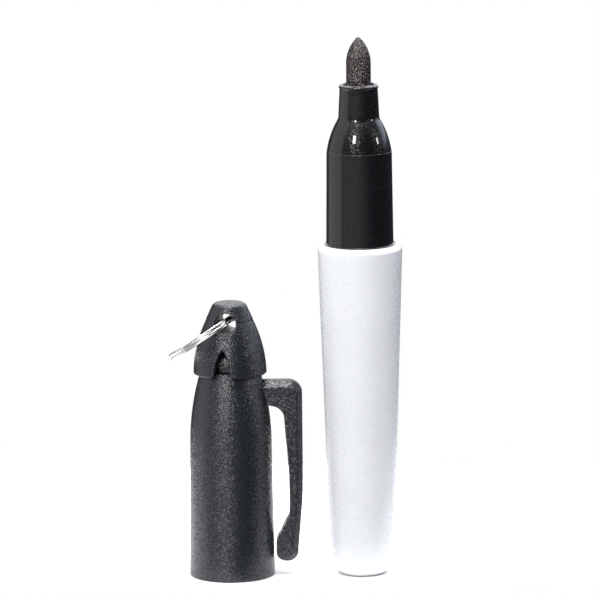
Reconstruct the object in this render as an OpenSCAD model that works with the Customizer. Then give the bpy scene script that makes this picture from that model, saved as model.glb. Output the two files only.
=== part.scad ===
// Pocket-size felt tip marker with a bullet nib, standing on its tail beside its own cap.
// The cap carries a pocket clip, a swivelling head and a split ring for a bunch of keys.
//
// Frame: millimetres, +Z up, origin on the pen's axis at the flat of its tail.
// The cap stands on its mouth at x = -cap_away.

/* [Barrel] */
// Height of the barrel, from the flat of its tail to its rim
barrel_h = 52.5; // [50:0.5:56]
// Diameter of the barrel at its rim
rim_d = 13.2; // [13:0.1:14]
// Radius of the rounded edge of the rim
rim_round = 0.9; // [0.6:0.1:1]
// Diameter where the long taper ends and the curve of the tail begins
tail_d = 10.3; // [10:0.1:11]
// Height where the curve of the tail begins
tail_h = 7.5; // [6.5:0.5:9]
// Radius of the long curve down the side of the tail
tail_curve = 30; // [26:1:40]
// Height where the side of the tail turns into the rounded foot
foot_h = 1.2; // [0.9:0.1:1.5]

/* [Nib holder] */
// Diameter of the holder where it meets the rim of the barrel
holder_base_d = 10.5; // [10.3:0.1:10.6]
// Diameter of the holder below its shoulder
holder_top_d = 10.16; // [10:0.02:10.2]
// Height of the straight part that shows above the rim
holder_h = 14.7; // [14:0.1:15]
// Height of the rounded shoulder
shoulder_h = 5; // [4.6:0.1:5]
// Radius of the curve of the shoulder
shoulder_curve = 13.3; // [12:0.1:16]
// Diameter of the neck above the shoulder
neck_d = 6.34; // [6.2:0.02:6.4]
// Height of the neck, with the bead at its mouth
neck_h = 5.5; // [5.3:0.1:5.5]

/* [Nib] */
// Diameter of the felt nib
nib_d = 3.86; // [3.6:0.02:4]
// Whole length of the nib
nib_len = 33.2; // [32:0.1:34]
// Length that stands out of the neck
nib_out = 7.3; // [7:0.1:7.5]
// Radius of the ogive that the point is ground to
nib_ogive = 5.7; // [5:0.1:6]

/* [Cap] */
// Distance between the axes of the pen and the cap as they stand
cap_away = 20.5; // [20:0.5:40]
// Diameter of the cap at its mouth
cap_mouth_d = 13.4; // [13.2:0.1:14]
// Diameter where the cap starts to curve in
cap_waist_d = 12.76; // [12.6:0.02:12.8]
// Height where the cap starts to curve in
cap_waist_h = 20.5; // [20:0.1:21]
// Radius of the curve up the side of the cap
cap_curve = 39; // [38:0.5:42]
// Height of the shoulder at the top of the cap
cap_h = 32.8; // [32.6:0.1:32.8]
// Diameter of the bore that takes the nib holder
cap_bore_d = 10.9; // [10.8:0.05:11]
// Width of the pocket clip
clip_w = 3; // [2.4:0.1:3.4]

/* [Head and split ring] */
// Height of the top of the head above the mouth of the cap
head_top = 43.45; // [43.4:0.05:44]
// Diameter of the skirt of the head
head_d = 11.36; // [11.2:0.02:11.4]
// Turn of the head about the axis of the cap, in degrees
head_turn = -12.5; // [-60:0.5:60]
// Height of the hole for the split ring
hole_z = 40.4; // [40.2:0.1:40.5]
// Diameter of the hole for the split ring
hole_d = 3.5; // [3.46:0.02:3.5]
// Outer diameter of the split ring
ring_d = 12.3; // [12:0.1:13]
// Width of the wire of the split ring, across the ring
wire_w = 0.9; // [0.7:0.05:0.9]
// Thickness of the two turns of the split ring together
wire_t = 1.1; // [1:0.05:1.3]
// Angle at which the split ring hangs below the level, in degrees
ring_dip = 33.5; // [0:0.1:34]
// Rise of the middle of the split ring above the axis of the hole
ring_rise = 0.2; // [0.1:0.05:0.4]
// Lean of the split ring about its own radius, in degrees
ring_lean = -1; // [-1.5:0.5:1]

/* [Hidden] */

$fn = 96;
arc_steps = 10;    // straight steps along each drawn arc
cut = 0.5;         // how far a cutting tool stands out of what it cuts
play = 0.03;       // clearance round a piece that is pressed home

white_plastic = [0.93, 0.94, 0.96];
black_plastic = [0.07, 0.07, 0.08];
graphite_plastic = [0.24, 0.25, 0.27];
natural_plastic = [0.86, 0.86, 0.82];
felt = [0.17, 0.14, 0.13];
inked_fibre = [0.1, 0.1, 0.11];
clear_film = [0.8, 0.84, 0.86];
nickel = [0.78, 0.78, 0.77];

// Barrel
rim_r = rim_d / 2;
tail_r = tail_d / 2;
floor_z = 2;             // inside floor of the barrel
socket_r = 5;            // bore at the front of the barrel, which holds the nib holder
socket_z = 44;           // bottom of that bore
fibre_z = 3.75;          // bottom of the ink reservoir
fibre_r = 3.7;           // radius of the fibre itself
sleeve_t = 0.12;         // thickness of the film round the fibre
fibre_top = 58;          // top of the ink reservoir
barrel_ribs = 6;         // ribs down the inside of the barrel, which hold the reservoir
rib_t = 0.6;             // thickness of a moulded rib

// Nib holder
holder_z = barrel_h + holder_h;          // bottom of the shoulder
neck_z = holder_z + shoulder_h;          // top of the shoulder
mouth_z = neck_z + neck_h;               // mouth of the neck
nib_hole_r = 2.3;                        // hole in the neck, wider than the nib for air
bead_r = 3.09;                           // bead round the mouth of the neck
nib_tip = mouth_z + nib_out;
nib_r = nib_d / 2;
nib_end = nib_tip - nib_len;

// Cap
post_neck_r = 3.3;       // neck of the post that the head turns on
post_r = 3.8;            // mushroom head of that post
post_z = 33.45;          // underside of the mushroom
post_top = 35.75;        // top of the post
seal_z = 20.1;           // bottom of the inner cap
seal_top = 27;           // top of the inner cap
seal_r = 4.15;           // outside of the inner cap
nib_room_r = 2.2;        // room round the nib at the top of the cap
nib_room_top = 33.9;

// Pocket clip, with x counted from the axis of the cap
clip_top = 31.2;         // top of the arm
clip_out = 11.25;        // outer face of the clip
clip_gap = 0.15;         // gap between the root of the clip and the cap
clip_corner = 2.25;      // radius of the outer corner

// Head
skirt_z = 32.2;            // lower edge of the skirt
hole_r = hole_d / 2;
head_r = head_d / 2;
arch_w = 1.25;           // half the width of the arch in the skirt
arch_z = 33.2;           // where the sides of the arch start to close
arch_top = 36.6;         // point of the arch
arch_foot = 0.9;         // radius of the flare at the foot of the arch

// Split ring
ring_r = ring_d / 2;
ring_mid_r = ring_r - wire_w / 2;
wire_seat = 0.8;         // from the axis of the hole to the middle of the wire inside it
ring_reach = ring_mid_r - wire_seat;     // from the axis of the hole to the centre of the ring

// Points along an arc, from angle a to angle b
function arc(centre, r, a, b, n = arc_steps) = [
    for (i = [0:n]) centre + r * [cos(a + (b - a) * i / n), sin(a + (b - a) * i / n)]
];

// Slope of a taper: how far its wall leans from the vertical
function lean(r1, z1, r2, z2) = atan((r2 - r1) / (z2 - z1));

// Outside of the barrel: flat tail, rounded foot, curved tail, long taper and rounded rim
function barrel_profile() = let(
    a = lean(tail_r, tail_h, rim_r, barrel_h - rim_round),
    centre = [tail_r - tail_curve * cos(a), tail_h + tail_curve * sin(a)],
    b = asin((foot_h - centre.y) / tail_curve),
    foot = centre + tail_curve * [cos(b), sin(b)],
    foot_r = foot.y / (1 + sin(b)),
    foot_centre = foot - foot_r * [cos(b), sin(b)]
) concat(
    [[0, 0]],
    arc(foot_centre, foot_r, -90, b),
    arc(centre, tail_curve, b, -a),
    arc([rim_r - rim_round, barrel_h - rim_round], rim_round, 0, 90),
    [[0, barrel_h]]
);

// Space inside the barrel: narrow at the tail, then a straight socket for the nib holder
barrel_space = [
    [0, floor_z], [3.2, floor_z], [3.9, fibre_z + 0.55], [4.1, 8],
    [socket_r, socket_z], [socket_r, barrel_h + cut], [0, barrel_h + cut]
];

// Ribs that stand in from a wall to a given radius
module ribs(count, inner, outer, z1, z2) {
    for (i = [0:count - 1])
        rotate(i * 360 / count)
            translate([inner, -rib_t / 2, z1])
                cube([outer - inner, rib_t, z2 - z1]);
}

module barrel() {
    color(white_plastic)
    difference() {
        rotate_extrude() polygon(barrel_profile());
        difference() {
            rotate_extrude() polygon(barrel_space);
            ribs(barrel_ribs, fibre_r + sleeve_t + play, rim_r, fibre_z + cut, socket_z);
        }
    }
}

// Outside of the nib holder: plug in the barrel, grip, shoulder, neck and beaded mouth
function holder_profile() = let(
    plug_r = socket_r - play,
    plug_z = socket_z + 1.5,
    top_r = holder_top_d / 2,
    low = [top_r - 0.04, holder_z],
    high = [neck_d / 2 + 0.1, neck_z],
    chord = norm(high - low),
    half = asin(chord / 2 / shoulder_curve),
    tilt = atan((low.x - high.x) / (high.y - low.y)),
    centre = low - shoulder_curve * [cos(tilt - half), sin(tilt - half)],
    bead = 0.3
) concat(
    [[0, plug_z], [plug_r - 0.4, plug_z], [plug_r, plug_z + 0.6], [plug_r, barrel_h]],
    [[holder_base_d / 2, barrel_h], [top_r, holder_z]],
    arc(centre, shoulder_curve, tilt - half, tilt + half),
    [[neck_d / 2, neck_z + 0.25], [bead_r - 0.1, mouth_z - 3 * bead]],
    arc([bead_r - bead, mouth_z - bead - 0.2], bead, 0, 60, 4),
    [[2.85, mouth_z], [nib_hole_r + 0.05, mouth_z - 0.25], [0, mouth_z - 0.25]]
);

module nib_holder() {
    tube_r = 3.1;        // outside of the tube that hangs down inside and guides the nib
    tube_z = fibre_top + 0.3;
    wall_r = 4.15;       // inside of the outer wall
    chamber_top = holder_z - 1;
    color(black_plastic)
    difference() {
        rotate_extrude() polygon(holder_profile());
        // reservoir end, and the air chamber round the guide tube
        difference() {
            union() {
                translate([0, 0, socket_z]) cylinder(r = wall_r, h = chamber_top - socket_z);
                translate([0, 0, chamber_top])
                    cylinder(r1 = wall_r, r2 = tube_r, h = 1);
            }
            translate([0, 0, tube_z]) cylinder(r = tube_r, h = chamber_top + 2 - tube_z);
        }
        // hole for the nib, with ribs that grip it and leave air ways between them
        difference() {
            translate([0, 0, tube_z - cut]) cylinder(r = nib_hole_r, h = mouth_z + cut - tube_z + cut);
            ribs(6, nib_r + play, tube_r, tube_z, mouth_z - 3);
        }
    }
}

// Half outline of the nib: pointed end in the reservoir, straight shaft and ground point
function nib_profile(grow = 0) = let(
    blunt = 0.28,
    point = 0.1,
    end = acos((nib_ogive - nib_r + blunt) / nib_ogive),
    centre = [nib_r - nib_ogive, nib_tip - point - nib_ogive * sin(end)]
) concat(
    [[0, nib_end - grow], [0.6 + grow, nib_end - grow], [nib_r + grow, nib_end + 2]],
    arc(centre, nib_ogive + grow, 0, end, 14),
    [[blunt / 2, nib_tip - 0.02], [0, nib_tip]]
);

module nib() {
    color(felt)
        rotate_extrude() polygon(nib_profile());
}

module ink_reservoir() {
    color(inked_fibre)
    difference() {
        translate([0, 0, fibre_z]) cylinder(r = fibre_r, h = fibre_top - fibre_z);
        // the nib is pushed into the fibre, which closes round it
        rotate_extrude() polygon(nib_profile(play));
    }
}

module reservoir_sleeve() {
    color(clear_film)
    translate([0, 0, fibre_z + 0.3])
    difference() {
        cylinder(r = fibre_r + sleeve_t, h = fibre_top - fibre_z - 0.6);
        translate([0, 0, -cut]) cylinder(r = fibre_r + 0.01, h = fibre_top - fibre_z + 2 * cut);
    }
}

// Outside of the cap from its mouth to its shoulder, as a line that can be grown outwards
function cap_side(grow = 0) = let(
    a = lean(cap_waist_d / 2, cap_waist_h, cap_mouth_d / 2, 0),
    centre = [cap_waist_d / 2 - cap_curve * cos(a), cap_waist_h + cap_curve * sin(a)],
    b = asin((cap_h - centre.y) / cap_curve)
) concat(
    [[cap_mouth_d / 2 - 0.25 + grow, 0], [cap_mouth_d / 2 + grow, 0.3]],
    arc(centre, cap_curve + grow, -a, b, 2 * arc_steps)
);

// Post on top of the cap: neck and mushroom head
cap_post = [
    [post_neck_r, cap_h], [post_neck_r, post_z], [post_r, post_z], [post_r, post_z + 1.2],
    [2.6, post_top], [0, post_top]
];

// Space inside the cap: mouth, bore, cone for the shoulder, seat of the inner cap, nib room
cap_space = [
    [0, -cut], [cap_bore_d / 2 + 0.3, -cut], [cap_bore_d / 2 + 0.3, 0], [cap_bore_d / 2, 0.4],
    [cap_bore_d / 2, 15.2], [seal_r + play, 19], [seal_r + play, seal_top + play],
    [nib_room_r, seal_top + play], [nib_room_r, nib_room_top], [0, nib_room_top]
];

module at_cap() {
    translate([-cap_away, 0, 0]) children();
}

module cap_shell() {
    color(graphite_plastic)
    at_cap() difference() {
        rotate_extrude() polygon(concat([[0, 0]], cap_side(), cap_post));
        rotate_extrude() polygon(cap_space);
    }
}

// Sleeve pressed into the cap, whose lip closes on the neck of the nib holder
module inner_cap() {
    lip_r = 3.22;
    stop_z = 25.4;       // the neck of the nib holder ends just short of this
    color(natural_plastic)
    at_cap() rotate_extrude() polygon([
        [lip_r + 0.5, seal_z], [seal_r, seal_z], [seal_r, seal_top],
        [nib_room_r + 0.1, seal_top], [nib_room_r + 0.1, stop_z], [lip_r, stop_z],
        [lip_r, seal_z + 0.9]
    ]);
}

// Outline of the clip, seen from its side: arm, straight blade and rounded toe
function clip_outline() = concat(
    [[3.6, 27.4], [3.6, clip_top]],
    arc([clip_out - clip_corner, clip_top - clip_corner], clip_corner, 90, 0),
    [[clip_out, 16], [clip_out - 0.15, 11.5]],
    arc([8.75, 3.75], 1.7, 8, -80),
    arc([8.65, 3.75], 1.7, -100, -180, 6),
    arc([8.95, 5.1], 1.97, 180, 135, 4),
    [[8.35, 8.2]],
    arc([7.7, 9.9], 1.4, -20, 5, 4),
    [[9.1, 13], [8.95, 18], [8.6, 22.2]],
    arc([6.3, 25], 2.1, 3, 85),
    [[5.6, 27.3]]
);

module pocket_clip() {
    color(graphite_plastic)
    at_cap() difference() {
        rotate([90, 0, 0])
            linear_extrude(clip_w, center = true) polygon(clip_outline());
        rotate_extrude()
            polygon(concat([[0, -cut]], cap_side(clip_gap), [[0, cap_h + cut]]));
    }
}

// Outside of the head: rounded lower edge, ogive side and small round top
function head_profile() = let(
    side = 20.3,
    a = 4.6,
    b = 30,
    centre = [head_r - side * cos(a), 33.4 - side * sin(a)],
    edge = 0.5,
    crown = 0.6
) concat(
    [[0, skirt_z]],
    arc([head_r - edge, skirt_z + edge], edge, -90, 0, 6),
    arc(centre, side, a, b, 14),
    arc([2.68 - crown, head_top - crown], crown, 10, 90, 6),
    [[0, head_top]]
);

// Space inside the head: skirt over the shoulder of the cap, snap lip, room for the mushroom
head_space = [
    [0, skirt_z - cut], [4.85, skirt_z - cut], [4.75, skirt_z], [4.55, cap_h + 0.18],
    [post_neck_r + 0.25, cap_h + 0.18], [post_neck_r + 0.25, post_z - 0.18],
    [post_r + 0.22, post_z - 0.18], [post_r + 0.22, post_z + 1.4],
    [2.9, post_top + 0.4], [0, post_top + 0.5]
];

// Arch in the skirt: sides that close on a parabola, and feet that flare outwards
function arch_half(side) = [
    for (i = [0:8]) let(t = i / 8)
        [side * arch_w * (1 - t * t), arch_z + (arch_top - arch_z) * t]
];

module arch() {
    polygon(concat(
        [[-arch_w - arch_foot, skirt_z - cut], [arch_w + arch_foot, skirt_z - cut]],
        arc([arch_w + arch_foot, skirt_z - 0.1 + arch_foot], arch_foot, 270, 180, 6),
        arch_half(1),
        [for (p = [1:8]) arch_half(-1)[8 - p]],
        arc([-arch_w - arch_foot, skirt_z - 0.1 + arch_foot], arch_foot, 0, -90, 6)
    ));
}

module at_head() {
    at_cap() rotate(head_turn) children();
}

module ring_head() {
    color(graphite_plastic)
    at_head() difference() {
        rotate_extrude() polygon(head_profile());
        rotate_extrude() polygon(head_space);
        translate([0, 0, hole_z]) rotate([90, 0, 0])
            cylinder(r = hole_r, h = 2 * head_r, center = true);
        rotate([90, 0, 0]) linear_extrude(2 * head_r + 1, center = true) arch();
    }
}

// Section of the split ring: two flat turns of wire with a groove where they meet
module wire_pair() {
    h = wire_t / 2;
    groove = 0.12;
    bevel = 0.15;
    inner = ring_r - wire_w;
    polygon([
        [inner + bevel, -h], [ring_r - bevel, -h], [ring_r, -h + bevel], [ring_r, -groove],
        [ring_r - groove, 0], [ring_r, groove], [ring_r, h - bevel], [ring_r - bevel, h],
        [inner + bevel, h], [inner, h - bevel], [inner, groove], [inner + groove, 0],
        [inner, -groove], [inner, -h + bevel]
    ]);
}

module split_ring() {
    color(nickel)
    at_head() translate([0, 0, hole_z])
        rotate([0, -ring_dip, 0])
            translate([-ring_reach, 0, ring_rise])
                rotate([ring_lean, 0, 0])
                    rotate_extrude() wire_pair();
}

barrel();
nib_holder();
nib();
ink_reservoir();
reservoir_sleeve();
cap_shell();
inner_cap();
pocket_clip();
ring_head();
split_ring();
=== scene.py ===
# %% [markdown]
# # A pocket-size felt tip marker and its key-ring cap
# The marker is ten pieces: a white barrel, a black nib holder, a felt nib, the fibre rod that
# holds the ink with a film round it, and a cap made of a shell, an inner cap, a pocket clip, a
# bullet-shaped head and a split ring. The engineering model has already fixed every size and
# every joint. This lesson loads it as a frame and gives each piece the surface that it has
# when it comes out of its mould. All work is done in millimetres and turned to metres once,
# when a mesh is made.

import math

import bmesh
import bpy
import numpy as np
import openvdb
from mathutils import Matrix, Vector, noise


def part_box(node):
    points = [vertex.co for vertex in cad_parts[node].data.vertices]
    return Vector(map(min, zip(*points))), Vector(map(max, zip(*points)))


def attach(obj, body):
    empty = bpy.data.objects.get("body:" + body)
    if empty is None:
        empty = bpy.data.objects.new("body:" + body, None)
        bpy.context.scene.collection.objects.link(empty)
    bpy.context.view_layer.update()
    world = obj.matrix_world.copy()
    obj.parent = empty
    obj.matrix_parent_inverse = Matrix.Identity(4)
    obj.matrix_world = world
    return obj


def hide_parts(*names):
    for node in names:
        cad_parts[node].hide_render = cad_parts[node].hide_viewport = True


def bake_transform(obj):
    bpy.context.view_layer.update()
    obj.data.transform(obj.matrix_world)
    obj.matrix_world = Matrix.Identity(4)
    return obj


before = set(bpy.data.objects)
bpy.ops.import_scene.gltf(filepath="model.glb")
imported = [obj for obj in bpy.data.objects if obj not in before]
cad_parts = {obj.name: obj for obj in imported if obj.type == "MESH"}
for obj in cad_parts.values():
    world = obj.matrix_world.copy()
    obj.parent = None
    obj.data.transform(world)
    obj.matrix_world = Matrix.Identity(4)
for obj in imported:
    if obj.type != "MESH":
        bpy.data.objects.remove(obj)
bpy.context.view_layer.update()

# %% Read the driving sizes off the frame
MM = 0.001


def box_mm(node):
    """Lowest and highest corner of a node of the frame, in millimetres."""
    low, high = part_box(node)
    return low / MM, high / MM


barrel_high = box_mm("barrel")[1]
cap_low, cap_high = box_mm("cap_shell")
head_low, head_high = box_mm("ring_head")
nib_low, nib_high = box_mm("nib")
holder_high = box_mm("nib_holder")[1]
clip_low, clip_high = box_mm("pocket_clip")

rim_z = barrel_high.z
rim_r = barrel_high.x
nib_tip = nib_high.z
nib_r = nib_high.x
mouth_z = holder_high.z
cap_x = (cap_low.x + cap_high.x) / 2
cap_mouth_r = (cap_high.x - cap_low.x) / 2
post_top = cap_high.z
head_r = (head_high.x - head_low.x) / 2
skirt_z, head_top = head_low.z, head_high.z
print(f"pen {nib_tip:.1f} mm tall, barrel {2 * rim_r:.1f} mm across, cap at x = {cap_x:.1f} mm")

# %% [markdown]
# ## Turned shapes
# Nearly everything here was moulded in a round tool, so most pieces are an outline turned
# about an axis. An outline is a list of (radius, height) points. Straight stretches need only
# their ends, and round stretches are arcs. Blender's Spin would do it too, but building the
# rings directly gives even quads and a single point at each pole.

# %% Arcs and turned outlines
def arc(centre, radius, start, end, steps=12):
    """Points along an arc, with its angles in degrees."""
    angles = [math.radians(start + (end - start) * i / steps) for i in range(steps + 1)]
    return [(centre[0] + radius * math.cos(a), centre[1] + radius * math.sin(a)) for a in angles]


def new_piece(name, points, faces, crease=35):
    """A mesh object from points in millimetres: faces outward, smooth but for its real edges."""
    mesh = bpy.data.meshes.new(name)
    mesh.from_pydata([tuple(p) for p in np.asarray(points) * MM], [], faces)
    cleaned = bmesh.new()
    cleaned.from_mesh(mesh)
    bmesh.ops.recalc_face_normals(cleaned, faces=cleaned.faces)
    cleaned.to_mesh(mesh)
    cleaned.free()
    mesh.shade_smooth()
    mesh.set_sharp_from_angle(angle=math.radians(crease))
    piece = bpy.data.objects.new(name, mesh)
    bpy.context.scene.collection.objects.link(piece)
    print(f"{name}: {len(mesh.vertices)} points, {len(mesh.polygons)} faces")
    return piece


def turned(name, outline, axis_x=0.0, segments=192, crease=35):
    """Turns an outline about the vertical axis at axis_x. Points of radius 0 become poles."""
    points, rings = [], []
    for r, z in outline:
        if r < 1e-6:
            rings.append([len(points)])
            points.append((axis_x, 0, z))
            continue
        rings.append(list(range(len(points), len(points) + segments)))
        for i in range(segments):
            a = 2 * math.pi * i / segments
            points.append((axis_x + r * math.cos(a), r * math.sin(a), z))
    closed = len(rings[0]) > 1
    faces = []
    for low, high in zip(rings, rings[1:] + (rings[:1] if closed else [])):
        for i in range(segments):
            j = (i + 1) % segments
            if len(low) == 1:
                faces.append((low[0], high[j], high[i]))
            elif len(high) == 1:
                faces.append((low[i], low[j], high[0]))
            else:
                faces.append((low[i], low[j], high[j], high[i]))
    return new_piece(name, points, faces, crease)


def stepped(start, end, pitch=0.6):
    """Points along a straight stretch, so that its quads stay nearly square."""
    count = max(1, round(math.dist(start, end) / pitch))
    return [tuple(np.array(start) + (np.array(end) - start) * i / count) for i in range(count + 1)]


# %% [markdown]
# ## Carved shapes
# The head and the clip aren't round: holes and notches cut them, and their edges are eased.
# Cutting with a Boolean and then bevelling leaves ragged edges. Here a shape is a distance
# function instead: negative inside, positive outside, zero on the surface. Two shapes meet in
# one formula that also rounds the edge between them, as a polished mould does. OpenVDB, which
# comes with Blender, turns the function into quads, and each point is then slid along the
# gradient until it lies exactly on the surface.

# %% Distance functions and the mesher
def meet(a, b, radius):
    """What two shapes have in common, with the edge between them rounded to a radius."""
    edge = np.hypot(np.maximum(a + radius, 0), np.maximum(b + radius, 0))
    return np.minimum(np.maximum(a, b), -radius) + edge


def join(a, b, radius):
    """Two shapes as one, with a fillet where they meet."""
    return -meet(-a, -b, radius)


CARVE_CELL = 0.1


def carved(name, shape, low, high, cell=CARVE_CELL, crease=180):
    """Meshes the zero surface of shape(x, y, z), in millimetres, inside a box."""
    low, high = np.array(low, float) - 4 * cell, np.array(high, float) + 4 * cell
    counts = np.ceil((high - low) / cell).astype(int) + 1
    axes = [low[i] + cell * np.arange(counts[i]) for i in range(3)]
    values = shape(*np.meshgrid(*axes, indexing="ij"))
    band = 3 * cell
    grid = openvdb.FloatGrid(band)
    grid.copyFromArray(np.clip(values, -band, band).astype(np.float32))
    points, quads = grid.convertToQuads(isovalue=0.0)
    points = points.astype(float) * cell + low
    nudge = cell / 20
    for _ in range(4):
        here = shape(*points.T)
        slope = np.stack([
            shape(*(points + step).T) - shape(*(points - step).T)
            for step in np.eye(3) * nudge
        ], axis=1) / (2 * nudge)
        steepness = np.maximum((slope ** 2).sum(1), 0.25)
        move = slope * (here / steepness)[:, None]
        points -= np.clip(move, -cell / 2, cell / 2)
    return new_piece(name, points, quads.tolist(), crease)


# %% [markdown]
# ## Materials
# Every finish is a node tree. Patterns read Object coordinates, which are metres on these
# pieces, so a grain of a given size in millimetres has a scale of 1000 divided by that size.

# %% Helpers for node trees
def linear(hex_colour):
    """An sRGB hex colour as the linear RGBA that shaders use."""
    channels = [int(hex_colour[i:i + 2], 16) / 255 for i in (1, 3, 5)]
    curve = [c / 12.92 if c <= 0.04045 else ((c + 0.055) / 1.055) ** 2.4 for c in channels]
    return (*curve, 1.0)


def per_metre(size_mm):
    """Texture scale for a pattern whose grains measure size_mm."""
    return 1000 / size_mm


def add(tree, kind, settings=None, **inputs):
    """Adds a node. Settings are its properties, where "stops" fills a colour ramp with
    (position, hex colour) pairs. Inputs are named by socket, with _ for a space, and each is
    a value or the output that feeds it."""
    node = tree.nodes.new(kind)
    for key, value in (settings or {}).items():
        if key != "stops":
            setattr(node, key, value)
            continue
        elements = node.color_ramp.elements
        for _ in value[2:]:
            elements.new(0.5)
        for element, (position, colour) in zip(elements, value):
            element.position = position
            element.color = linear(colour)
    for key, value in inputs.items():
        socket = next(s for s in node.inputs
                      if s.enabled and key in (s.identifier, s.name.replace(" ", "_")))
        if isinstance(value, bpy.types.NodeSocket):
            tree.links.new(value, socket)
        else:
            socket.default_value = value
    return node


def new_finish(name):
    """An empty material, its tree, and the object's own coordinates for its patterns."""
    material = bpy.data.materials.new(name)
    material.use_nodes = True
    tree = material.node_tree
    tree.nodes.clear()
    return material, tree, add(tree, "ShaderNodeTexCoord").outputs["Object"]


def glitter(tree, where, facet_mm, lean, bumped):
    """A normal that is tilted at random from one tiny facet to the next."""
    cells = add(tree, "ShaderNodeTexVoronoi", Vector=where, Scale=per_metre(facet_mm))
    centred = add(tree, "ShaderNodeVectorMath", {"operation": "SUBTRACT"},
                  Vector=cells.outputs["Color"], Vector_001=(0.5, 0.5, 0.5))
    tilt = add(tree, "ShaderNodeVectorMath", {"operation": "SCALE"},
               Vector=centred.outputs[0], Scale=lean)
    leaning = add(tree, "ShaderNodeVectorMath", {"operation": "ADD"},
                  Vector=tilt.outputs[0], Vector_001=bumped)
    return add(tree, "ShaderNodeVectorMath", {"operation": "NORMALIZE"},
               Vector=leaning.outputs[0]).outputs[0]


# %% [markdown]
# ### Spark-eroded grey polypropylene
# The cap, clip and head are polypropylene coloured through in charcoal. The mould was spark
# eroded, which leaves tiny round pits side by side, so the surface is matt but glitters where
# a light is close to the mirror direction. The pits are a noise bump, and the glitter is a
# cell pattern that tilts the normal a little, each cell its own way.

# %% Cap plastic
PIT = 0.17
CAP_FACET = 0.13


def cap_plastic():
    material, tree, where = new_finish("polypropylene_spark_eroded_charcoal")
    pits = add(tree, "ShaderNodeTexNoise", Vector=where, Scale=per_metre(2 * PIT), Detail=3.0,
               Roughness=0.7).outputs["Fac"]
    cloud = add(tree, "ShaderNodeTexNoise", Vector=where, Scale=per_metre(9), Detail=2.0)
    tone = add(tree, "ShaderNodeValToRGB",
               {"stops": [(0.25, "#16191e"), (0.55, "#202329"), (0.8, "#33363c")]}, Fac=pits)
    shade = add(tree, "ShaderNodeValToRGB", {"stops": [(0.35, "#dcdee2"), (0.65, "#ffffff")]},
                Fac=cloud.outputs["Fac"])
    hue = add(tree, "ShaderNodeMix", {"data_type": "RGBA", "blend_type": "MULTIPLY"},
              Factor=0.5, A=tone.outputs["Color"], B=shade.outputs["Color"])
    rough = add(tree, "ShaderNodeMapRange", Value=pits, To_Min=0.2, To_Max=0.34)
    grain = add(tree, "ShaderNodeBump", Height=pits, Strength=0.5, Distance=0.0001)
    shader = add(tree, "ShaderNodeBsdfPrincipled", Base_Color=hue.outputs["Result"],
                 Roughness=rough.outputs[0], IOR=1.49, Specular_IOR_Level=0.7,
                 Normal=glitter(tree, where, CAP_FACET, 0.38, grain.outputs["Normal"]))
    add(tree, "ShaderNodeOutputMaterial", Surface=shader.outputs[0])
    return material


# %% [markdown]
# ### Glossy white polypropylene
# The barrel comes from a polished mould. White pigment scatters light a little way into the
# wall, which softens the shading, and slight sink marks make its reflections wander.

# %% Barrel plastic
def barrel_plastic():
    material, tree, where = new_finish("polypropylene_polished_white")
    sink = add(tree, "ShaderNodeTexNoise", Vector=where, Scale=per_metre(9), Detail=1.0)
    haze = add(tree, "ShaderNodeTexNoise", Vector=where, Scale=per_metre(0.5), Detail=3.0)
    tone = add(tree, "ShaderNodeValToRGB", {"stops": [(0.3, "#eceef2"), (0.7, "#f1f3f6")]},
               Fac=sink.outputs["Fac"])
    rough = add(tree, "ShaderNodeMapRange", Value=haze.outputs["Fac"], To_Min=0.22, To_Max=0.34)
    bump = add(tree, "ShaderNodeBump", Height=sink.outputs["Fac"], Strength=0.08,
               Distance=0.0002)
    shader = add(tree, "ShaderNodeBsdfPrincipled", Base_Color=tone.outputs["Color"],
                 Roughness=rough.outputs[0], IOR=1.49, Subsurface_Weight=0.1,
                 Subsurface_Scale=0.001, Normal=bump.outputs["Normal"])
    add(tree, "ShaderNodeOutputMaterial", Surface=shader.outputs[0])
    return material


# %% [markdown]
# ### Glossy black polypropylene
# The nib holder is black and polished, so nearly all that the eye sees of it is reflection.
# Under the skin the pigment is slightly grainy, which spreads a speckled glow round each
# sharp highlight. A clear coat gives the sharp part, and glitter below it gives the glow.

# %% Holder plastic
def holder_plastic():
    material, tree, where = new_finish("polypropylene_polished_black")
    ripple = add(tree, "ShaderNodeTexNoise", Vector=where, Scale=per_metre(2.2), Detail=2.0)
    dust = add(tree, "ShaderNodeTexNoise", Vector=where, Scale=per_metre(0.32), Detail=2.0)
    specks = add(tree, "ShaderNodeValToRGB", {"stops": [(0.66, "#0e0e10"), (0.74, "#2b2a2c")]},
                 Fac=dust.outputs["Fac"])
    rough = add(tree, "ShaderNodeMapRange", Value=ripple.outputs["Fac"], To_Min=0.26,
                To_Max=0.36)
    wave = add(tree, "ShaderNodeBump", Height=ripple.outputs["Fac"], Strength=0.1,
               Distance=0.0001)
    shader = add(tree, "ShaderNodeBsdfPrincipled", Base_Color=specks.outputs["Color"],
                 Roughness=rough.outputs[0], Specular_IOR_Level=0.3, Coat_Weight=0.8,
                 Coat_Roughness=0.05, Coat_Normal=wave.outputs["Normal"],
                 Normal=glitter(tree, where, 0.17, 0.3, wave.outputs["Normal"]))
    add(tree, "ShaderNodeOutputMaterial", Surface=shader.outputs[0])
    return material
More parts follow.
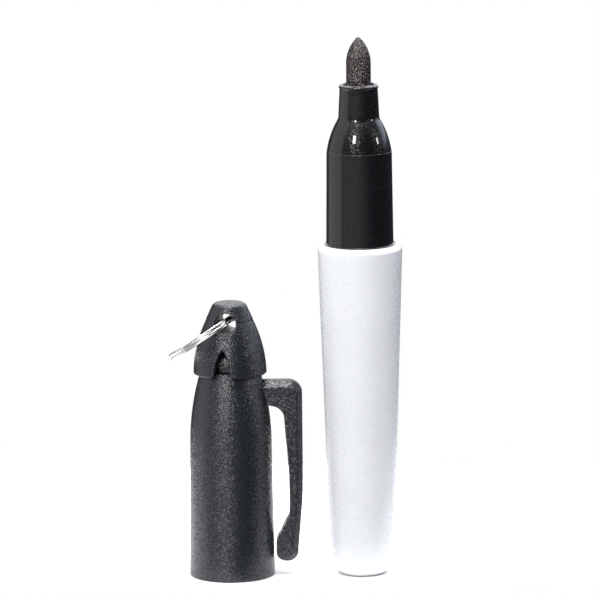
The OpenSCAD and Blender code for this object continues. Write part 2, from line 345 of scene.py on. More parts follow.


# %% [markdown]
# ### Inked felt
# The nib is wool felt bonded with resin, ground to a bullet and soaked with black ink. Ink
# fills the gaps. The resin on the fibre ends glints through tilted facets, and its warm
# brown-grey specks in the base colour are partly its own colour and partly painted glint.

# %% Felt
def felt():
    material, tree, where = new_finish("felt_pressed_inked")
    fibres = add(tree, "ShaderNodeTexNoise", Vector=where, Scale=per_metre(0.42), Detail=4.0,
                 Roughness=0.75).outputs["Fac"]
    clumps = add(tree, "ShaderNodeTexVoronoi", Vector=where, Scale=per_metre(0.33))
    # the lightest warm stops are partly the resin's colour and partly painted glint, spread evenly
    # over the nib
    tone = add(tree, "ShaderNodeValToRGB",
               {"stops": [(0.44, "#0a0606"), (0.54, "#1c1210"), (0.62, "#453029"),
                          (0.7, "#8a7064")]}, Fac=fibres)
    rough = add(tree, "ShaderNodeMapRange", Value=fibres, To_Min=0.36, To_Max=0.14)
    soft = add(tree, "ShaderNodeBump", Height=fibres, Strength=0.9, Distance=0.00025)
    grit = add(tree, "ShaderNodeBump", Height=clumps.outputs["Distance"], Strength=0.5,
               Distance=0.0001, Normal=soft.outputs["Normal"])
    shader = add(tree, "ShaderNodeBsdfPrincipled", Base_Color=tone.outputs["Color"],
                 Roughness=rough.outputs[0], IOR=1.5, Specular_IOR_Level=0.7,
                 Normal=glitter(tree, where, 0.22, 0.75, grit.outputs["Normal"]))
    add(tree, "ShaderNodeOutputMaterial", Surface=shader.outputs[0])
    return material


# %% [markdown]
# ### Nickel-plated steel
# The split ring is bright nickel. Drawing and coiling the wire leaves fine lines and small
# flats, which break up its reflections.

# %% Nickel
def nickel():
    material, tree, where = new_finish("steel_nickel_plated_bright")
    marks = add(tree, "ShaderNodeTexNoise", Vector=where, Scale=per_metre(0.6), Detail=3.0)
    tone = add(tree, "ShaderNodeValToRGB", {"stops": [(0.3, "#dbdad6"), (0.7, "#f2f1ee")]},
               Fac=marks.outputs["Fac"])
    rough = add(tree, "ShaderNodeMapRange", Value=marks.outputs["Fac"], To_Min=0.16,
                To_Max=0.3)
    dents = add(tree, "ShaderNodeBump", Height=marks.outputs["Fac"], Strength=0.25,
                Distance=0.00006)
    shader = add(tree, "ShaderNodeBsdfPrincipled", Base_Color=tone.outputs["Color"],
                 Metallic=1.0, Roughness=rough.outputs[0], Normal=dents.outputs["Normal"])
    add(tree, "ShaderNodeOutputMaterial", Surface=shader.outputs[0])
    return material


# %% [markdown]
# ### Hidden pieces
# The inner cap is uncoloured polypropylene, milky and soft in the light. The reservoir is a
# bundle of fibres inside a clear film. They only show when the marker is taken apart.

# %% Natural plastic, inked fibre and film
def natural_plastic():
    material, tree, where = new_finish("polypropylene_natural")
    cloud = add(tree, "ShaderNodeTexNoise", Vector=where, Scale=per_metre(1.5), Detail=2.0)
    tone = add(tree, "ShaderNodeValToRGB", {"stops": [(0.3, "#d3d2c8"), (0.7, "#e2e1d9")]},
               Fac=cloud.outputs["Fac"])
    rough = add(tree, "ShaderNodeMapRange", Value=cloud.outputs["Fac"], To_Min=0.35,
                To_Max=0.5)
    shader = add(tree, "ShaderNodeBsdfPrincipled", Base_Color=tone.outputs["Color"],
                 Roughness=rough.outputs[0], IOR=1.49, Subsurface_Weight=0.4,
                 Subsurface_Scale=0.001)
    add(tree, "ShaderNodeOutputMaterial", Surface=shader.outputs[0])
    return material


def inked_fibre():
    material, tree, where = new_finish("polyester_fibre_bundle_inked")
    stretched = add(tree, "ShaderNodeMapping", Vector=where, Scale=(1.0, 1.0, 0.05))
    strands = add(tree, "ShaderNodeTexNoise", Vector=stretched.outputs[0],
                  Scale=per_metre(0.2)).outputs["Fac"]
    tone = add(tree, "ShaderNodeValToRGB", {"stops": [(0.35, "#0e0e12"), (0.7, "#2a2a33")]},
               Fac=strands)
    lines = add(tree, "ShaderNodeBump", Height=strands, Strength=0.6, Distance=0.0001)
    shader = add(tree, "ShaderNodeBsdfPrincipled", Base_Color=tone.outputs["Color"],
                 Roughness=0.7, Normal=lines.outputs["Normal"])
    add(tree, "ShaderNodeOutputMaterial", Surface=shader.outputs[0])
    return material


def clear_film():
    material, tree, where = new_finish("polypropylene_film_clear")
    creases = add(tree, "ShaderNodeTexNoise", Vector=where, Scale=per_metre(3), Detail=2.0)
    wrinkle = add(tree, "ShaderNodeBump", Height=creases.outputs["Fac"], Strength=0.3,
                  Distance=0.0001)
    shader = add(tree, "ShaderNodeBsdfPrincipled", Base_Color=linear("#dfe6ea"),
                 Roughness=0.15, IOR=1.49, Transmission_Weight=0.8,
                 Normal=wrinkle.outputs["Normal"])
    add(tree, "ShaderNodeOutputMaterial", Surface=shader.outputs[0])
    return material


finishes = {
    "cap_plastic": cap_plastic(),
    "barrel_plastic": barrel_plastic(),
    "holder_plastic": holder_plastic(),
    "felt": felt(),
    "nickel": nickel(),
    "natural_plastic": natural_plastic(),
    "inked_fibre": inked_fibre(),
    "clear_film": clear_film(),
}
print(len(finishes), "finishes")


def dress(piece, slot, body, *nodes):
    """Gives a piece its finish and its body, and hides the plain nodes that it stands for."""
    piece.data.materials.clear()
    piece.data.materials.append(finishes[slot])
    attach(piece, body)
    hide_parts(*nodes)


# %% [markdown]
# ## The barrel
# One long taper that is widest just below the rim, with a rounded foot. The outline goes up
# the outside, over the rim and down the inside, so that the wall has a real thickness.

# %% Barrel
RIM_ROUND = 0.9
TAIL_R, TAIL_Z, TAIL_CURVE, FOOT_Z = 5.15, 7.5, 30.0, 1.2
SOCKET_R, SOCKET_Z, FLOOR_Z = 5.0, 44.0, 2.0


def barrel_outline():
    taper = math.degrees(math.atan((rim_r - TAIL_R) / (rim_z - RIM_ROUND - TAIL_Z)))
    centre = (TAIL_R - TAIL_CURVE * math.cos(math.radians(taper)),
              TAIL_Z + TAIL_CURVE * math.sin(math.radians(taper)))
    low = math.degrees(math.asin((FOOT_Z - centre[1]) / TAIL_CURVE))
    lean = math.radians(low)
    foot = (centre[0] + TAIL_CURVE * math.cos(lean), centre[1] + TAIL_CURVE * math.sin(lean))
    foot_r = foot[1] / (1 + math.sin(lean))
    foot_centre = (foot[0] - foot_r * math.cos(lean), foot[1] - foot_r * math.sin(lean))
    tail = arc(centre, TAIL_CURVE, low, -taper, 20)
    rim = arc((rim_r - RIM_ROUND, rim_z - RIM_ROUND), RIM_ROUND, 0, 90, 16)
    lip = arc((SOCKET_R + 0.15, rim_z - 0.15), 0.15, 90, 180, 4)
    return [
        (0, 0),
        *arc(foot_centre, foot_r, -90, low, 14),
        *tail[1:],
        *stepped(tail[-1], rim[0], 1.0)[1:-1],
        *rim,
        *lip,
        (SOCKET_R, SOCKET_Z), (4.1, 8), (3.9, 4.3), (3.2, FLOOR_Z), (0, FLOOR_Z),
    ]


barrel = turned("white_barrel", barrel_outline(), segments=256)
dress(barrel, "barrel_plastic", "pen", "barrel")

# %% [markdown]
# ## The nib holder
# Up from the rim: a thin flange that sits on the barrel, the grip with its slight draft, a
# hair-thin parting step, the shoulder, a small crease, the neck and the bead round its mouth.

# %% Nib holder
NECK_H, SHOULDER_H = 5.5, 5.0
neck_z = mouth_z - NECK_H
grip_top = neck_z - SHOULDER_H


def holder_outline():
    top_r, neck_r = 5.04, 3.27
    chord = math.dist((top_r, grip_top), (neck_r, neck_z))
    curve = 13.3
    half = math.degrees(math.asin(chord / 2 / curve))
    tilt = math.degrees(math.atan((top_r - neck_r) / SHOULDER_H))
    centre = (top_r - curve * math.cos(math.radians(tilt - half)),
              grip_top - curve * math.sin(math.radians(tilt - half)))
    bead = 0.28
    return [
        (0, SOCKET_Z + 1.5), (4.57, SOCKET_Z + 1.5), (4.97, SOCKET_Z + 2.1),
        (4.97, rim_z - 0.1), (5.6, rim_z - 0.1), (5.6, rim_z + 0.12), (5.5, rim_z + 0.2),
        *stepped((5.25, rim_z + 0.22), (top_r + 0.045, grip_top - 0.06), 0.8),
        *arc((top_r - 0.01, grip_top - 0.06), 0.055, 0, 80, 4),
        *arc(centre, curve, tilt - half, tilt + half, 28),
        (neck_r - 0.02, neck_z + 0.1), (neck_r - 0.06, neck_z + 0.18),
        *stepped((neck_r - 0.08, neck_z + 0.35), (2.98, mouth_z - 1.0), 0.6),
        (2.96, mouth_z - 0.8),
        *arc((3.09 - bead, mouth_z - bead - 0.17), bead, -50, 90, 12),
        *arc((2.62, mouth_z - 0.02 - bead), bead, 90, 180, 6),
        (2.3, mouth_z - 0.6), (2.3, mouth_z - 6), (0, mouth_z - 6),
    ]


holder = turned("nib_holder_black", holder_outline(), segments=256)
dress(holder, "holder_plastic", "pen", "nib_holder")

# %% [markdown]
# ## The nib
# A straight shaft ground to an ogive. Felt is never quite smooth, so after turning, every
# point is pushed in or out by smooth noise of a fibre's size.

# %% Nib
OGIVE, BLUNT, POINT = 5.7, 0.28, 0.1
FIBRE_SIZE, FIBRE_HEIGHT = 0.42, 0.022


def nib_outline():
    end = math.degrees(math.acos((OGIVE - nib_r + BLUNT) / OGIVE))
    start = nib_tip - POINT - OGIVE * math.sin(math.radians(end))
    return [
        (0, nib_low.z), (0.6, nib_low.z), (nib_r, nib_low.z + 2),
        *stepped((nib_r, nib_low.z + 2), (nib_r, start), 0.16)[1:],
        *arc((nib_r - OGIVE, start), OGIVE, 0, end, 34)[1:],
        (BLUNT * 0.8, nib_tip - 0.055), (BLUNT * 0.4, nib_tip - 0.012), (0, nib_tip),
    ]


def roughen(piece, size, height, above):
    """Pushes points sideways by noise of the given grain size, all in millimetres."""
    for vertex in piece.data.vertices:
        if vertex.co.z < above * MM:
            continue
        bump = noise.fractal(vertex.co / (size * MM), 0.9, 2.0, 3)
        vertex.co -= vertex.normal * (height * MM * max(0.0, 0.6 + bump))
    print(f"{piece.name}: felt noise of {size} mm, {height} mm deep")


nib = turned("felt_nib", nib_outline(), segments=128, crease=180)
roughen(nib, FIBRE_SIZE, FIBRE_HEIGHT, mouth_z - 2)
dress(nib, "felt", "pen", "nib")

# %% [markdown]
# ## The cap shell
# The outside is the same curve as the frame's: straight at the mouth, then bending in to the
# shoulder. Above it stand a collar, a groove and the mushroom post that the head snaps onto.
# The inside is hollow, because the cap is looked into whenever it lies on its side.

# %% Cap shell
WAIST_R, WAIST_Z, CAP_CURVE, SHOULDER_Z = 6.38, 20.5, 39.0, 32.8
BORE_R = 5.45


def cap_curve_start():
    """Lean of the mouth's draft, and the centre of the curve that follows it."""
    lean = math.atan((cap_mouth_r - WAIST_R) / WAIST_Z)
    return lean, (WAIST_R - CAP_CURVE * math.cos(-lean), WAIST_Z - CAP_CURVE * math.sin(-lean))


def cap_side_radius(z):
    """Radius of the cap's outside at a height."""
    lean, centre = cap_curve_start()
    straight = cap_mouth_r + (WAIST_R - cap_mouth_r) * z / WAIST_Z
    bent = centre[0] + np.sqrt(np.maximum(CAP_CURVE ** 2 - (z - centre[1]) ** 2, 0))
    return np.where(z < WAIST_Z, straight, bent)


def cap_outline():
    side = [(float(cap_side_radius(z)), z) for z in np.linspace(0.5, SHOULDER_Z - 0.25, 46)]
    shoulder_r = float(cap_side_radius(SHOULDER_Z))
    edge = arc((shoulder_r - 0.25, SHOULDER_Z - 0.2), 0.2, 20, 90, 5)
    post = [
        (3.6, SHOULDER_Z), (3.45, SHOULDER_Z + 0.06), (3.3, SHOULDER_Z + 0.2),
        (3.3, SHOULDER_Z + 0.6), *arc((3.6, SHOULDER_Z + 0.84), 0.2, -90, 0, 5),
        (3.8, SHOULDER_Z + 1.9), *arc((2.6, post_top - 1.05), 1.05, 25, 90, 10), (0, post_top),
    ]
    mouth = arc((cap_mouth_r - 0.3, 0.3), 0.3, -90, 0, 6)
    inside = [
        (0, 33.9), (2.2, 33.9), (2.2, 27.03), (4.18, 27.03), (4.18, 19), (BORE_R, 15.2),
        (BORE_R, 0.4), (BORE_R + 0.25, 0.05), (BORE_R + 0.35, 0),
    ]
    return [(0, post_top), *reversed(post[:-1]), *reversed(edge), *reversed(side),
            *reversed(mouth), *reversed(inside)]


cap_shell = turned("cap_shell_charcoal", cap_outline(), cap_x, segments=256)
dress(cap_shell, "cap_plastic", "cap", "cap_shell")

# %% [markdown]
# ## The inner cap
# A sleeve of soft, uncoloured plastic is pressed into the top of the cap. Its narrow mouth
# closes on the neck of the nib holder and keeps the ink from drying.

# %% Inner cap
inner_low, inner_high = box_mm("inner_cap")
LIP_R = 3.22
inner_r = (inner_high.x - inner_low.x) / 2
inner_cap = turned("inner_cap_natural", [
    (LIP_R + 0.5, inner_low.z),
    *arc((inner_r - 0.2, inner_low.z + 0.2), 0.2, -90, 0, 4),
    (inner_r, inner_high.z), (2.3, inner_high.z), (2.3, 25.4), (LIP_R, 25.4),
    *arc((LIP_R + 0.5, inner_low.z + 0.5), 0.5, 180, 270, 6)[:-1],
], cap_x, segments=128)
dress(inner_cap, "natural_plastic", "cap", "inner_cap")

# %% [markdown]
# ## The head
# A bullet shape with a small flat top. A cross hole takes the split ring, an arch at the front
# and one at the back let the skirt spring over the post, and the space inside follows the
# post. That space is too tight at the top of the post and just above the skirt's lower edge,
# so there the head overlaps the cap shell, by up to 0.74 mm at the post. Every cut is rounded
# into the outside by its own radius.

# %% Head
HEAD_TURN = math.radians(-12.5)
HOLE_Z, HOLE_R = 40.4, 1.75
SIDE, SIDE_START, SIDE_Z = 20.3, math.radians(4.6), 33.4
ARCH_W, ARCH_Z, ARCH_TOP, ARCH_FOOT = 1.25, 33.2, 36.6, 0.8
LIP, CROWN = 0.14, 0.6


def head_shape(x, y, z):
    u = (x - cap_x) * math.cos(HEAD_TURN) + y * math.sin(HEAD_TURN)
    v = -(x - cap_x) * math.sin(HEAD_TURN) + y * math.cos(HEAD_TURN)
    r = np.hypot(u, v)
    # outside: an ogive, a steeper neck near the top, the flat top and the lower edge
    side = np.hypot(r - (head_r - SIDE * math.cos(SIDE_START)),
                    z - (SIDE_Z - SIDE * math.sin(SIDE_START))) - SIDE
    neck = np.maximum((r - 3.03 + 0.35 * (z - 41.92)) * 0.944, 41.2 - z)
    outside = join(side, neck, 0.5)
    outside = meet(outside, z - head_top, CROWN)
    # the gate mark: a shallow dimple with the torn stub of the sprue in it
    dimple = np.hypot(r, z - head_top - 2.0) - 2.17
    outside = meet(outside, -dimple, 0.12)
    stub = np.maximum(np.hypot(u - 0.05, v) - 0.34, z - head_top + 0.03)
    outside = join(outside, np.maximum(stub, head_top - 1.5 - z), 0.12)
    # the arch, whose feet flare into the lower edge
    rise = np.clip((z - ARCH_Z) / (ARCH_TOP - ARCH_Z), 0, None)
    width = ARCH_W * (1 - rise ** 2)
    slope = 2 * ARCH_W * rise / (ARCH_TOP - ARCH_Z)
    arch = (np.abs(u) - width) / np.sqrt(1 + slope ** 2)
    lower = meet(skirt_z - z, -arch, ARCH_FOOT)
    solid = meet(outside, lower, 0.32)
    # the cross hole
    hole = np.hypot(u, z - HOLE_Z) - HOLE_R
    solid = meet(solid, -hole, LIP)
    # the room for the shoulder of the cap and for the post
    skirt_room = np.maximum(r - 4.62 - 0.12 * (33.0 - z), z - 33.0)
    neck_room = np.maximum(r - 3.55, z - 33.6)
    post_room = np.maximum(np.maximum(r - 4.02, np.abs(z - 34.13) - 0.87),
                           (r - 4.02 + z - 35.0) * 0.707)
    dome_room = np.hypot(r, z - 33.2) - 2.95
    room = np.minimum(np.minimum(skirt_room, neck_room), np.minimum(post_room, dome_room))
    return meet(solid, -room, 0.06)


head = carved("ring_head_charcoal", head_shape, head_low, head_high)
dress(head, "cap_plastic", "head", "ring_head")

# %% [markdown]
# ## The pocket clip
# An arm and a long blade that ends in a rounded toe. Its outer contour carries a wide chamfer
# on both sides, and the inner one only a small radius. The outline is a closed polyline, and
# its distance function is the distance to the nearest of its edges.

# %% Clip
CLIP_CORNER, EASE = 2.25, 0.12
SIDE_CHAMFER, TOP_CHAMFER = 0.8, 1.15
clip_out = clip_high.x - cap_x
clip_top = clip_high.z
clip_half = clip_high.y


def clip_contours():
    """The outline of the clip, and its outer contour closed far to the inside."""
    outer = [
        *arc((clip_out - CLIP_CORNER, clip_top - CLIP_CORNER), CLIP_CORNER, 90, 0, 16),
        (clip_out, 16), (clip_out - 0.04, 13.5), (clip_out - 0.15, 11.5),
        *arc((8.75, 3.75), 1.7, 8, -85, 16),
    ]
    inner = [
        *arc((8.65, 3.75), 1.7, -95, -180, 12),
        *arc((8.95, 5.1), 1.97, 180, 135, 8),
        (8.35, 8.2),
        *arc((7.7, 9.9), 1.4, -20, 5, 8),
        (9.12, 13), (9.07, 16), (8.95, 18), (8.8, 20.3), (8.6, 22.2),
        *arc((6.3, 25.0), 2.1, 3, 85, 16),
        (5.6, 27.3), (3.9, 27.4),
    ]
    outline = [(3.9, clip_top), *outer, *inner]
    return outline, [(-20, clip_top), *outer, (-20, outer[-1][1])]


def polygon_distance(corners, x, z):
    """Distance to a closed polygon, negative inside."""
    corners = np.array(corners)
    nearest = np.full(x.shape, 1e9)
    inside = np.zeros(x.shape, bool)
    for (x1, z1), (x2, z2) in zip(corners, np.roll(corners, -1, axis=0)):
        ex, ez = x2 - x1, z2 - z1
        along = np.clip(((x - x1) * ex + (z - z1) * ez) / max(ex * ex + ez * ez, 1e-12), 0, 1)
        nearest = np.minimum(nearest, np.hypot(x - x1 - along * ex, z - z1 - along * ez))
        crosses = (z1 > z) != (z2 > z)
        with np.errstate(divide="ignore", invalid="ignore"):
            side = x < ex * (z - z1) / ez + x1
        inside ^= crosses & side
    return np.where(inside, -nearest, nearest)


clip_outline, clip_outer = clip_contours()


def flat_distance(corners, low, high, cell):
    """A polygon's distance on a fine grid, read back by bilinear interpolation."""
    xs = np.arange(low[0] - 2, high[0] + 2, cell)
    zs = np.arange(low[1] - 2, high[1] + 2, cell)
    table = polygon_distance(corners, *np.meshgrid(xs, zs, indexing="ij"))

    def read(x, z):
        i = np.clip((x - xs[0]) / cell, 0, len(xs) - 1.001)
        k = np.clip((z - zs[0]) / cell, 0, len(zs) - 1.001)
        i0, k0 = i.astype(int), k.astype(int)
        across, up = i - i0, k - k0
        near = table[i0, k0] * (1 - up) + table[i0, k0 + 1] * up
        far = table[i0 + 1, k0] * (1 - up) + table[i0 + 1, k0 + 1] * up
        return near * (1 - across) + far * across

    return read


TABLE_CELL, TABLE_LOW = 0.04, (3.5, 2.0)
clip_flat = flat_distance(clip_outline, TABLE_LOW, (clip_out, clip_top), TABLE_CELL)
clip_edge = flat_distance(clip_outer, TABLE_LOW, (clip_out, clip_top), TABLE_CELL)


def clip_shape(x, y, z):
    across = np.abs(y) - clip_half
    body = meet(clip_flat(x - cap_x, z), across, EASE)
    grow = np.clip((z - clip_top + CLIP_CORNER) / 1.2, 0, 1)
    width = SIDE_CHAMFER + (TOP_CHAMFER - SIDE_CHAMFER) * grow
    chamfer = (clip_edge(x - cap_x, z) + across + width) * 0.7071
    return meet(body, chamfer, 0.1)


clip = carved("pocket_clip_charcoal", clip_shape,
              (cap_x + 3.8, clip_low.y, clip_low.z), clip_high)
clip.data.materials.append(finishes["cap_plastic"])
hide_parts("pocket_clip")
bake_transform(clip)

# %% [markdown]
# ## The split ring
# Two turns of flattened wire that touch, with a step where the wire climbs from the lower turn
# to the upper. Its path follows a rule, so Geometry Nodes lay it out: a line of points is
# bent round by its own position along the line, lifted by a smooth step, and swept with a
# rounded rectangle.

# %% Ring tree
COIL_START, COIL_END = 0.05, 1.92
STEP_START, STEP_END = 0.93, 1.04
COIL_POINTS = 420


def ring_tree():
    tree = bpy.data.node_groups.new("split_ring_coil", "GeometryNodeTree")
    sockets = tree.interface
    for title in ("Radius", "Wire Width", "Wire Thickness", "Edge Radius"):
        sockets.new_socket(title, in_out="INPUT", socket_type="NodeSocketFloat")
    sockets.new_socket("Material", in_out="INPUT", socket_type="NodeSocketMaterial")
    sockets.new_socket("Geometry", in_out="OUTPUT", socket_type="NodeSocketGeometry")
    given = add(tree, "NodeGroupInput").outputs
    line = add(tree, "GeometryNodeCurvePrimitiveLine")
    points = add(tree, "GeometryNodeResampleCurve", Curve=line.outputs[0], Count=COIL_POINTS)
    along = add(tree, "GeometryNodeSplineParameter").outputs["Factor"]
    turns = add(tree, "ShaderNodeMapRange", Value=along, To_Min=COIL_START,
                To_Max=COIL_END).outputs[0]
    angle = add(tree, "ShaderNodeMath", {"operation": "MULTIPLY"}, Value=turns,
                Value_001=2 * math.pi)
    around = [add(tree, "ShaderNodeMath", {"operation": kind}, Value=angle.outputs[0])
              for kind in ("COSINE", "SINE")]
    climb = add(tree, "ShaderNodeMapRange", {"interpolation_type": "SMOOTHSTEP"}, Value=turns,
                From_Min=STEP_START, From_Max=STEP_END, To_Min=0.5, To_Max=-0.5)
    flat = add(tree, "ShaderNodeCombineXYZ", X=around[0].outputs[0], Y=around[1].outputs[0])
    circle = add(tree, "ShaderNodeVectorMath", {"operation": "SCALE"}, Vector=flat.outputs[0],
                 Scale=given["Radius"])
    lift = add(tree, "ShaderNodeMath", {"operation": "MULTIPLY"}, Value=climb.outputs[0],
               Value_001=given["Wire Thickness"])
    up = add(tree, "ShaderNodeCombineXYZ", Z=lift.outputs[0])
    place = add(tree, "ShaderNodeVectorMath", {"operation": "ADD"}, Vector=circle.outputs[0],
                Vector_001=up.outputs[0])
    coil = add(tree, "GeometryNodeSetPosition", Geometry=points.outputs[0],
               Position=place.outputs[0])
    upright = add(tree, "GeometryNodeSetCurveNormal", {"mode": "Z_UP"}, Curve=coil.outputs[0])
    wire = add(tree, "GeometryNodeCurvePrimitiveQuadrilateral", Width=given["Wire Width"],
               Height=given["Wire Thickness"])
    eased = add(tree, "GeometryNodeFilletCurve", {"mode": "POLY"}, Curve=wire.outputs[0],
                Count=4, Radius=given["Edge Radius"])
    swept = add(tree, "GeometryNodeCurveToMesh", Curve=upright.outputs[0],
                Profile_Curve=eased.outputs[0], Fill_Caps=True)
    real = add(tree, "GeometryNodeRealizeInstances", Geometry=swept.outputs[0])
    painted = add(tree, "GeometryNodeSetMaterial", Geometry=real.outputs[0],
                  Material=given["Material"])
    add(tree, "NodeGroupOutput", Geometry=painted.outputs[0])
    print("ring tree:", len(tree.nodes), "nodes")
    return tree


# %% Run a tree and keep its result
def grown(name, tree, **sizes):
    """Runs a node tree on an empty mesh and returns the result as a plain mesh object."""
    seed = bpy.data.objects.new(name + "_seed", bpy.data.meshes.new(name + "_seed"))
    bpy.context.scene.collection.objects.link(seed)
    modifier = seed.modifiers.new("grow", "NODES")
    modifier.node_group = tree
    for socket in tree.interface.items_tree:
        if socket.in_out == "INPUT":
            modifier[socket.identifier] = sizes[socket.name.replace(" ", "_")]
    graph = bpy.context.evaluated_depsgraph_get()
    mesh = bpy.data.meshes.new_from_object(seed.evaluated_get(graph))
    mesh.name = name
    seed.modifiers.remove(modifier)
    bpy.data.objects.remove(seed)
    piece = bpy.data.objects.new(name, mesh)
    bpy.context.scene.collection.objects.link(piece)
    return piece


# %% Split ring
RING_R, WIRE_W, WIRE_T = 6.15, 0.9, 0.55
WIRE_EDGE, WIRE_SEAT = 0.14, 0.8
RING_DIP, RING_RISE, RING_LEAN = math.radians(33.5), 0.2, math.radians(-1)
ring_mid = RING_R - WIRE_W / 2
ring_reach = ring_mid - WIRE_SEAT
ring = grown("split_ring_nickel", ring_tree(), Radius=ring_mid * MM, Wire_Width=WIRE_W * MM,
             Wire_Thickness=WIRE_T * MM, Edge_Radius=WIRE_EDGE * MM, Material=finishes["nickel"])
ring_place = (
    Matrix.Translation(Vector((cap_x, 0, HOLE_Z)) * MM)
    @ Matrix.Rotation(HEAD_TURN, 4, "Z")
    @ Matrix.Rotation(-RING_DIP, 4, "Y")
    @ Matrix.Translation(Vector((-ring_reach, 0, RING_RISE)) * MM)
    @ Matrix.Rotation(RING_LEAN, 4, "X")
)
ring.data.transform(ring_place)
ring.data.shade_smooth()
ring.data.set_sharp_from_angle(angle=math.radians(50))
dress(ring, "nickel", "ring", "split_ring")
print("split ring:", len(ring.data.polygons), "faces")

# %% [markdown]
# ## Pieces inside the pen
# The reservoir and its film are already plain cylinders in the frame. They keep that shape and
# only get their finish.

# %% Reservoir and film
for node, slot in (("ink_reservoir", "inked_fibre"), ("reservoir_sleeve", "clear_film")):
    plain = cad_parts[node]
    plain.data.materials.clear()
    plain.data.materials.append(finishes[slot])
    print(node, "wears", slot)

# %% [markdown]
# ## Camera
# A long lens, 800 mm away and a little above the marker, so that its sides stay nearly
# parallel. The focal length follows from how large the marker should appear.

# %% Camera
AWAY, HEIGHT, AIM = 800.0, 190.0, 43.7
SIDEWAYS = -9.43
ROLL = math.radians(-0.6)
PIXELS_PER_MM, FRAME_PIXELS, SENSOR = 6.4, 600, 36.0

pitch = math.atan2(HEIGHT - AIM, AWAY)
depth = AWAY * math.cos(pitch) + (HEIGHT - AIM) * math.sin(pitch)
lens = bpy.data.cameras.new("product_lens")
lens.sensor_width = SENSOR
lens.lens = PIXELS_PER_MM * depth * SENSOR / FRAME_PIXELS
lens.clip_start = 0.05
lens.clip_end = 10.0
camera = bpy.data.objects.new("product_camera", lens)
bpy.context.scene.collection.objects.link(camera)
turn = Matrix.Rotation(math.pi / 2 - pitch, 4, "X") @ Matrix.Rotation(ROLL, 4, "Z")
camera.matrix_world = Matrix.Translation(Vector((SIDEWAYS, -AWAY, HEIGHT)) * MM) @ turn
bpy.context.scene.camera = camera
print(f"lens {lens.lens:.0f} mm, pitch {math.degrees(pitch):.1f} degrees")

# %% [markdown]
# ## Paper and lamps
# The marker stands on a small sheet of white paper. A wide lamp overhead lights the paper and
# every edge that looks up, and a small one at the zenith makes the upper edges glint. A small
# key lamp at the front left gives the glint on the black shoulder and the speckles on the
# cap's shoulder, and the kicker at the right answers it.
#
# Four lamps light only some pieces, as if black card shaded the others from them: a lower key
# that carries the speckled band down the cap, a broad fill on the white barrel, a small key
# on the nib, and a card that the split ring mirrors. Light linking does this: a lamp is given
# a collection of the pieces that receive its light.

# %% Paper and lamps
def lamp(name, target, bearing, rise, away, size, power):
    """A soft square lamp that looks at a target, placed by its bearing from the front
    (degrees, to the right), its rise above the level and its distance in millimetres."""
    data = bpy.data.lights.new(name, "AREA")
    data.size = size * MM
    data.energy = power
    light = bpy.data.objects.new(name, data)
    bpy.context.scene.collection.objects.link(light)
    bearing, rise = math.radians(bearing), math.radians(rise)
    towards = Vector((math.sin(bearing) * math.cos(rise), -math.cos(bearing) * math.cos(rise),
                      math.sin(rise)))
    light.location = (Vector(target) + towards * away) * MM
    light.rotation_mode = "QUATERNION"
    light.rotation_quaternion = (-towards).to_track_quat("-Z", "Y")
    light.visible_camera = False
    print(f"{name}: {power} W at {bearing:.2f}, {rise:.2f} rad")
    return light


def paper_white():
    material, tree, _ = new_finish("paper_white_sheet")
    shader = add(tree, "ShaderNodeBsdfPrincipled", Base_Color=linear("#fcfcfc"), Roughness=0.9,
                 Specular_IOR_Level=0.0)
    add(tree, "ShaderNodeOutputMaterial", Surface=shader.outputs[0])
    return material


floor = new_piece("paper", [(-80, -9, 0), (60, -9, 0), (60, 80, 0), (-80, 80, 0)],
                  [(0, 1, 2, 3)])
floor.data.materials.append(paper_white())

lamp("key", (-8, 0, 45), -20, 30, 600, 110, 1.35)
lamp("zenith", (-8, 0, 30), 0, 78, 480, 90, 1.0)
lamp("kicker", (0, 0, 70), 78, 18, 500, 60, 0.25)
lamp("overhead", (0, 30, 0), 180, 84, 520, 640, 3.4)
low_key = lamp("low_key", (-20, 0, 25), -20, 1, 600, 130, 0.75)
fill = lamp("barrel_fill", (0, 0, 25), -6, -5, 600, 800, 1.5)
nib_key = lamp("nib_key", (0, 0, 80), -4, 14, 500, 70, 2.0)
ring_card = lamp("ring_card", (-27, 0, 36), 10, -8, 260, 300, 0.3)
for light, pieces in ((low_key, (cap_shell, clip, head)), (fill, (barrel,)),
                      (nib_key, (nib,)), (ring_card, (ring,))):
    lit = bpy.data.collections.new(light.name + "_lights")
    for piece in pieces:
        lit.objects.link(piece)
    light.light_linking.receiver_collection = lit
    print(light.name, "lights only", ", ".join(piece.name for piece in pieces))

# %% [markdown]
# ## The tent
# The black nib holder and the nickel ring mirror whatever stands round them, so the tent is
# drawn as a world with a direction in it. A white wall on the left stops short of the front,
# which gives the holder its pale strip with a sharp edge. The front and the right are dark
# above the horizon, and below it a grey table lies in front. Low down at the back it is dark,
# which draws the thin dark line along each side. The ceiling is dim. The camera itself sees
# plain white.

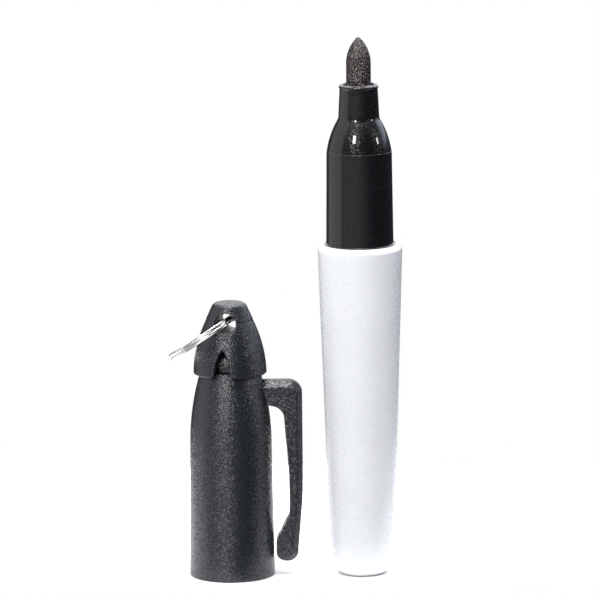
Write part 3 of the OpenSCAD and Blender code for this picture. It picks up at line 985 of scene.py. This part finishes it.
# %% Tent
world = bpy.data.worlds.new("tent")
bpy.context.scene.world = world
world.use_nodes = True
sky = world.node_tree
sky.nodes.clear()
here = add(sky, "ShaderNodeSeparateXYZ",
           Vector=add(sky, "ShaderNodeTexCoord").outputs["Generated"]).outputs

# every wall is a product of bands: the axis, where the band starts and ends, and how bright
# it is before and after
WALLS = {
    "left wall": [("X", -0.46, -0.38, 1.0, 0.0), ("Y", -0.42, -0.37, 0.0, 1.0),
                  ("Y", 0.64, 0.74, 1.0, 0.0), ("Y", -0.4, 0.9, 1.0, 0.45)],
    "back wall": [("Y", 0.15, 0.4, 0.0, 1.7), ("Z", 0.06, 0.16, 0.0, 1.0),
                  ("X", -0.45, -0.25, 0.0, 1.0)],
    "table": [("Y", -0.6, -0.2, 0.5, 0.0), ("Z", -0.06, 0.02, 1.0, 0.0),
              ("X", -0.1, 0.7, 1.0, 0.2)],
    "ceiling": [("Z", 0.5, 0.8, 0.05, 0.35)],
}
glow = 0.0
for title, bands in WALLS.items():
    wall = 1.0
    for axis, start, end, before, after in bands:
        step = add(sky, "ShaderNodeMapRange", Value=here[axis], From_Min=start, From_Max=end,
                   To_Min=before, To_Max=after)
        wall = add(sky, "ShaderNodeMath", {"operation": "MULTIPLY"}, Value=wall,
                   Value_001=step.outputs[0]).outputs[0]
    glow = add(sky, "ShaderNodeMath", {"operation": "MAXIMUM"}, Value=glow,
               Value_001=wall).outputs[0]
    print(title, "from", len(bands), "bands")
side = add(sky, "ShaderNodeMapRange", Value=here["X"], From_Min=0.0, From_Max=0.6)
tint = add(sky, "ShaderNodeMix", {"data_type": "RGBA"}, Factor=side.outputs[0],
           A=linear("#fbfcff"), B=linear("#dfe9fb"))
tent = add(sky, "ShaderNodeBackground", Color=tint.outputs["Result"], Strength=glow)
paper = add(sky, "ShaderNodeBackground", Color=(1, 1, 1, 1), Strength=1.0)
seen = add(sky, "ShaderNodeLightPath").outputs["Is Camera Ray"]
pick = add(sky, "ShaderNodeMixShader", Fac=seen, Shader=tent.outputs[0],
           Shader_001=paper.outputs[0])
add(sky, "ShaderNodeOutputWorld", Surface=pick.outputs[0])
bpy.context.scene.view_settings.view_transform = "Standard"
print("tent:", len(sky.nodes), "nodes")
